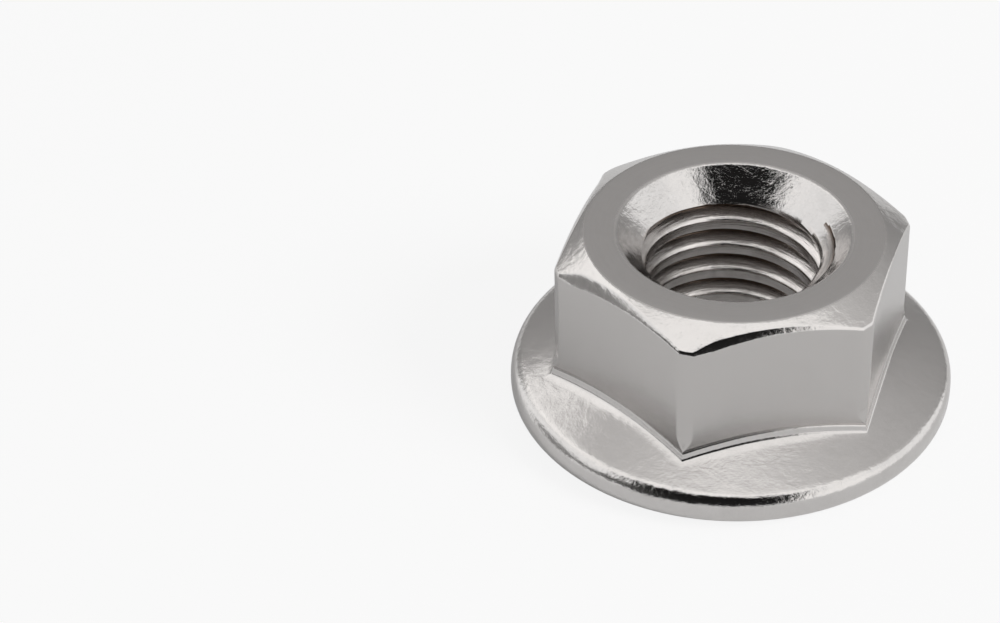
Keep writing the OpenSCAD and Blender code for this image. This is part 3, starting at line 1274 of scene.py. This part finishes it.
FINISHES = (
    SteelFinish(Zone.TOP, colour=(0.62, 0.60, 0.59), roughness=0.28, stain_share=0.1,
                peel_depth=0.004 * MM, grain=Grain.TURNED, grain_depth=0.0008 * MM),
    SteelFinish(Zone.CHAMFER, roughness=0.10, roughness_more=0.05, peel_depth=0.022 * MM,
                peel_size=0.5 * MM, grain_depth=0.0025 * MM, stain_share=0.06),
    # The flats' darker colour is painted shade; their drawn marks and roughness are their own
    # finish.
    SteelFinish(Zone.FLAT, colour=(0.63, 0.61, 0.597), roughness=0.24, roughness_more=0.02,
                grain=Grain.DRAWN, grain_size=0.3 * MM, grain_depth=0.00005 * MM,
                peel_depth=0.003 * MM, stain_share=0.03),
    SteelFinish(Zone.FLANGE, colour=(0.70, 0.68, 0.668), roughness=0.14, roughness_more=0.06,
                peel_depth=0.015 * MM, peel_size=0.6 * MM, grain_depth=0.002 * MM,
                stain_share=0.10),
    SteelFinish(Zone.RIM, roughness=0.09, roughness_more=0.04, peel_depth=0.028 * MM,
                peel_size=0.45 * MM, grain_depth=0.004 * MM, stain_share=0.12),
    SteelFinish(Zone.SERRATION, roughness=0.16, peel_depth=0.012 * MM, stain_share=0.3),
    SteelFinish(Zone.INNER_RING, roughness=0.2, grain=Grain.TURNED, grain_size=0.05 * MM,
                grain_depth=0.002 * MM),
    SteelFinish(Zone.MOUTH, colour=(0.72, 0.70, 0.688), roughness=0.07, roughness_more=0.03,
                peel_depth=0.028 * MM, peel_size=0.45 * MM, grain_size=0.13 * MM,
                grain_depth=0.008 * MM, stain_share=0.12),
    # The thread's lighter colour is painted light in the bore; its dark brown is painted shade at
    # the roots and also the colour of its dull spots.
    SteelFinish(Zone.THREAD, colour=(0.82, 0.79, 0.77), stain_and_root_shade=(0.12, 0.085, 0.065),
                roughness=0.16, grain=Grain.TAPPED, grain_size=0.11 * MM,
                grain_depth=0.014 * MM, stain_share=0.25, peel_depth=0.006 * MM),
)


def stage_object(name: str, bm: bmesh.types.BMesh) -> bpy.types.Object:
    """Makes a part of the studio.

    Args:
        name: Name of the part.
        bm: Mesh of the part, which is freed.

    Returns:
        The part as an object.
    """
    mesh = bpy.data.meshes.new(name)
    bm.to_mesh(mesh)
    bm.free()
    made = bpy.data.objects.new(name, mesh)
    bpy.context.scene.collection.objects.link(made)
    return made


@dataclass(frozen=True)
class Card:
    """Curved studio card that the polished steel mirrors.

    Attributes:
        name: Name of the card.
        rise: First and last angle along the arch from the front, over the top, to the back.
        side: First and last angle to the side, from left to right.
        glow: Brightness along the arch, at its first and last angle.
        reach: Distance from the nut.
        steps: Number of faces along each span.
    """

    name: str
    rise: tuple[float, float]
    side: tuple[float, float]
    glow: tuple[float, float]
    reach: float = 0.42
    steps: int = 16

    def point(self, along: float, across: float) -> Vector:
        """Point of the card.

        Args:
            along: Share of the way along the arch.
            across: Share of the way from left to right.

        Returns:
            The point in the studio.
        """
        rise = math.radians(mix(*self.rise, along))
        side = math.radians(mix(*self.side, across))
        outward = Vector((math.sin(side), -math.cos(side) * math.cos(rise),
                          math.cos(side) * math.sin(rise)))
        return outward * self.reach

    def build(self) -> bpy.types.Object:
        """Adds the card, seen by the steel only.

        Returns:
            The card as an object.
        """
        bm = ladder(self.steps, self.steps)
        for vertex in bm.verts:
            vertex.co = self.point(vertex.co.y / self.steps, vertex.co.x / self.steps)
        card = stage_object(self.name, bm)
        card.visible_camera = False
        card.visible_diffuse = False
        card.visible_shadow = False
        paint = Paint(self.name)
        own = paint.node("TexCoord").outputs["Object"]
        parts = paint.node("SeparateXYZ", Vector=own).outputs
        turn = paint.reckon("ARCTAN2", parts[2], paint.reckon("MULTIPLY", parts[1], -1.0))
        first, last = (math.radians(angle) for angle in self.rise)
        glow = paint.ramp(turn, first, last, *self.glow)
        emission = paint.node("Emission", Color=(1.0, 0.99, 0.98, 1.0), Strength=glow)
        card.data.materials.append(paint.finish(emission.outputs["Emission"]))
        return card


@dataclass
class Studio:
    """Floor, cards, light and camera.

    Attributes:
        focal_pixels: Focal length of the camera, in pixels of the picture.
        image_width: Width of the picture in pixels.
        sensor: Width of the sensor in millimetres.
        clip: Nearest and farthest distance that the camera sees.
        target_z: Height of the point on the nut's axis that the camera looks at.
        distance: Distance of the camera from that point.
        elevation: Height of the camera over the horizon.
        yaw: Turn of the view to the side, which moves the nut out of the middle.
        pitch: Turn of the view up or down.
        roll: Turn of the view about its own axis.
        cards: The cards.
        lamp_power: Power of the key lamp in watts.
        lamp_size: Diameter of the key lamp.
        lamp_place: Place of the key lamp, which faces the nut.
        floor_size: Half of the floor's width.
        floor_grey: Brightness of the floor's colour.
        floor_seen: How far the floor is plain white to the camera.
        floor_mirrored: How far it is plain white in the steel.
        world_light: Strength of the world as light, where the steel and the camera see 1.
    """

    focal_pixels: float = 3000.0
    image_width: float = 1000.0
    sensor: float = 36.0
    clip: tuple[float, float] = (10 * MM, 10.0)
    target_z: float = 4.0 * MM
    distance: float = 121.2 * MM
    elevation: float = math.radians(37.5)
    yaw: float = math.radians(4.41)
    pitch: float = math.radians(-0.16)
    roll: float = math.radians(1.80)
    cards: tuple[Card, ...] = (
        Card("front_flag", (3.0, 50.0), (-32.0, 31.0), (0.02, 0.01)),
        Card("upper_flag", (50.0, 70.0), (-38.0, 26.0), (0.01, 0.02)),
        Card("left_flag", (-4.0, 50.0), (-46.0, -32.0), (0.04, 0.10)),
        Card("overhead_softbox", (72.0, 93.0), (-46.0, 45.0), (1.15, 1.05)),
        Card("left_softbox", (93.0, 145.0), (-48.0, -32.0), (1.2, 1.15), reach=0.41),
        Card("right_softbox", (6.0, 66.0), (32.0, 74.0), (1.1, 1.1)),
        Card("back_panel", (93.0, 178.0), (-50.0, 50.0), (0.66, 0.26)),
        Card("left_panel", (12.0, 46.0), (-67.0, -46.0), (0.12, 0.16)),
        Card("left_cap", (22.0, 150.0), (-90.0, -67.0), (0.27, 0.27)),
    )
    lamp_power: float = 1.35
    lamp_size: float = 0.22
    lamp_place: tuple[float, float, float] = (0.37, -0.15, 0.29)
    floor_size: float = 3.0
    floor_grey: float = 0.84
    floor_seen: float = 0.87
    floor_mirrored: float = 0.1
    world_light: float = 0.42

    def build_camera(self) -> None:
        """Adds the camera at the photo's viewing angle."""
        data = bpy.data.cameras.new("camera")
        data.sensor_width = self.sensor
        data.lens = self.focal_pixels / self.image_width * self.sensor
        data.clip_start, data.clip_end = self.clip
        camera = bpy.data.objects.new("camera", data)
        behind = Vector((0.0, -math.cos(self.elevation), math.sin(self.elevation)))
        place = Vector((0.0, 0.0, self.target_z)) + behind * self.distance
        right = Vector((1.0, 0.0, 0.0))
        up = behind.cross(right)
        axes = Matrix((right, up, behind)).transposed()
        axes = Matrix.Rotation(self.yaw, 3, up) @ axes
        axes = Matrix.Rotation(self.pitch, 3, axes.col[0]) @ axes
        axes = Matrix.Rotation(self.roll, 3, axes.col[2]) @ axes
        camera.matrix_world = Matrix.Translation(place) @ axes.to_4x4()
        bpy.context.scene.collection.objects.link(camera)
        bpy.context.scene.camera = camera

    def build_floor(self) -> None:
        """Adds the pale floor, white to the camera but with the nut's soft shadow."""
        bm = bmesh.new()
        bmesh.ops.create_grid(bm, x_segments=1, y_segments=1, size=self.floor_size)
        floor = stage_object("floor", bm)
        paint = Paint("floor")
        cloth = paint.node("BsdfDiffuse", Color=(*[self.floor_grey] * 3, 1.0))
        white = paint.node("Emission", Color=(1.0, 1.0, 1.0, 1.0), Strength=1.0)
        path = paint.node("LightPath").outputs
        seen = paint.reckon("MULTIPLY", path["Is Camera Ray"], self.floor_seen)
        mirror = paint.reckon("ADD", path["Is Glossy Ray"], path["Is Transmission Ray"])
        mirrored = paint.reckon("MULTIPLY", mirror, self.floor_mirrored)
        shader = paint.node("MixShader")
        shares = (paint.reckon("ADD", seen, mirrored), cloth.outputs[0], white.outputs[0])
        for socket, value in zip(shader.inputs, shares):
            paint.feed(socket, value)
        floor.data.materials.append(paint.finish(shader.outputs[0]))

    def build_lamp(self) -> None:
        """Adds the soft key lamp at the right front, which the steel doesn't mirror."""
        data = bpy.data.lights.new("key_lamp", "AREA")
        data.shape = "DISK"
        data.size = self.lamp_size
        data.energy = self.lamp_power
        lamp = bpy.data.objects.new("key_lamp", data)
        lamp.visible_glossy = False
        place = Vector(self.lamp_place)
        facing_nut = place.to_track_quat("Z", "Y").to_matrix().to_4x4()
        lamp.matrix_world = Matrix.Translation(place) @ facing_nut
        bpy.context.scene.collection.objects.link(lamp)

    def build_world(self) -> None:
        """Sets the world: white to the camera and to the steel, a little softer as light."""
        world = bpy.data.worlds.new("studio")
        world.use_nodes = True
        tree = world.node_tree
        path = tree.nodes.new("ShaderNodeLightPath").outputs
        seen = path["Is Camera Ray"]
        for kind in ("Is Glossy Ray", "Is Transmission Ray"):
            either = tree.nodes.new("ShaderNodeMath")
            either.operation = "ADD"
            tree.links.new(seen, either.inputs[0])
            tree.links.new(path[kind], either.inputs[1])
            seen = either.outputs[0]
        strength = tree.nodes.new("ShaderNodeMapRange")
        strength.inputs["To Min"].default_value = self.world_light
        tree.links.new(seen, strength.inputs["Value"])
        background = tree.nodes["Background"]
        background.inputs["Color"].default_value = (1.0, 1.0, 1.0, 1.0)
        tree.links.new(strength.outputs["Result"], background.inputs["Strength"])
        bpy.context.scene.world = world

    def build(self) -> None:
        """Adds the floor, the cards, the world, the lamp and the camera."""
        self.build_floor()
        for card in self.cards:
            card.build()
        self.build_world()
        self.build_lamp()
        self.build_camera()
        LOG.info("studio: %d cards", len(self.cards))


def main() -> None:
    """Builds the nut and its studio."""
    logging.basicConfig(level=logging.INFO)
    nut = FlangeNut().build()
    for finish in sorted(FINISHES, key=lambda each: each.zone.value):
        nut.data.materials.append(finish.material())
    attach(nut, "root")
    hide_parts("flange_nut")
    Studio().build()
    bpy.context.scene.view_settings.view_transform = "Standard"


if __name__ == "__main__":
    main()
